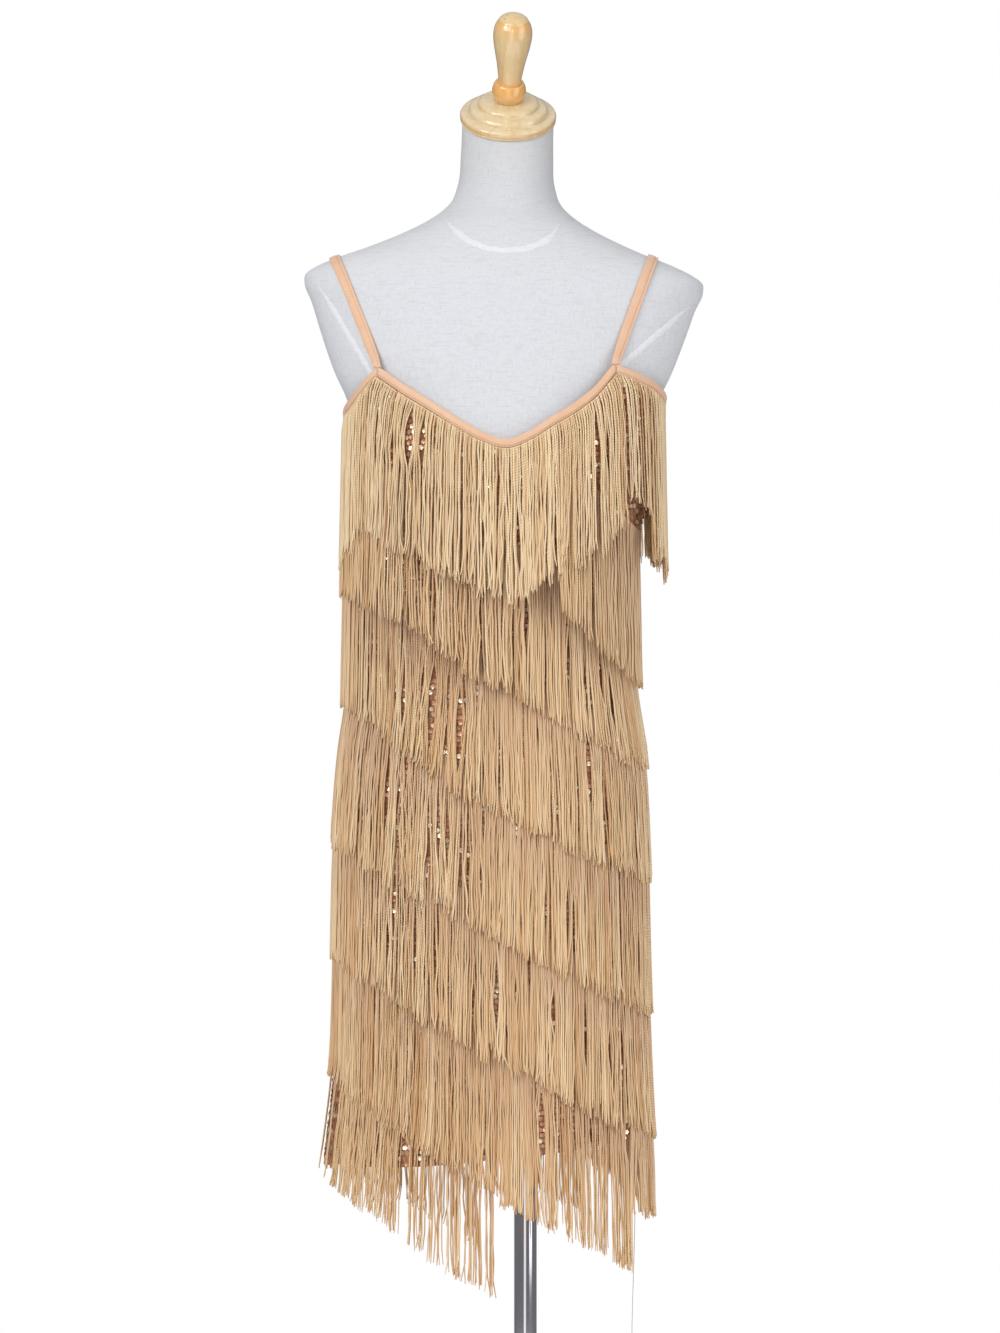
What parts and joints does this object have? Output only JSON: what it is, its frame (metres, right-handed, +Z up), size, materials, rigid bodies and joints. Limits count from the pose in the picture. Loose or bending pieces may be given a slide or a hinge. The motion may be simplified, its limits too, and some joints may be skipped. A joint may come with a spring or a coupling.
{
  "type": "flapper dress on a dress form",
  "caption": "Strapped shift dress with slanted rows of long fringe over a copper-brown tube, standing on a limbless dress form with a pole and a round base.",
  "frame": {"origin": "middle of the base's underside on the floor, under the pole", "axes": "+Z up along the pole, -Y out of the front of the dress, +X to the right of someone who looks at the front"},
  "size_m": [0.398, 0.32, 1.552],
  "materials": {
    "linen": "white linen over a hard shell",
    "maple": "turned and varnished",
    "chrome": "polished",
    "steel": "satin",
    "sequin_cloth": "copper-brown sequins on knit",
    "binding": "satin bias binding",
    "fringe": "twisted rayon threads"
  },
  "bodies": {
    "root": {"front_panel": "sequin_cloth", "back_panel": "sequin_cloth", "neck_binding_front": "binding", "neck_binding_back": "binding", "armhole_binding_left": "binding", "armhole_binding_right": "binding", "strap_left": "binding", "strap_right": "binding", "fringe_top": "fringe", "fringe_row_1": "fringe", "fringe_row_2": "fringe", "fringe_row_3": "fringe", "fringe_row_4": "fringe", "fringe_row_5": "fringe", "fringe_row_6": "fringe", "fringe_row_7": "fringe", "form_torso": "linen", "neck_cap": "maple", "neck_handle": "maple", "form_flange": "steel", "stand_pole": "chrome", "stand_base": "steel"}
  },
  "joints": []
}
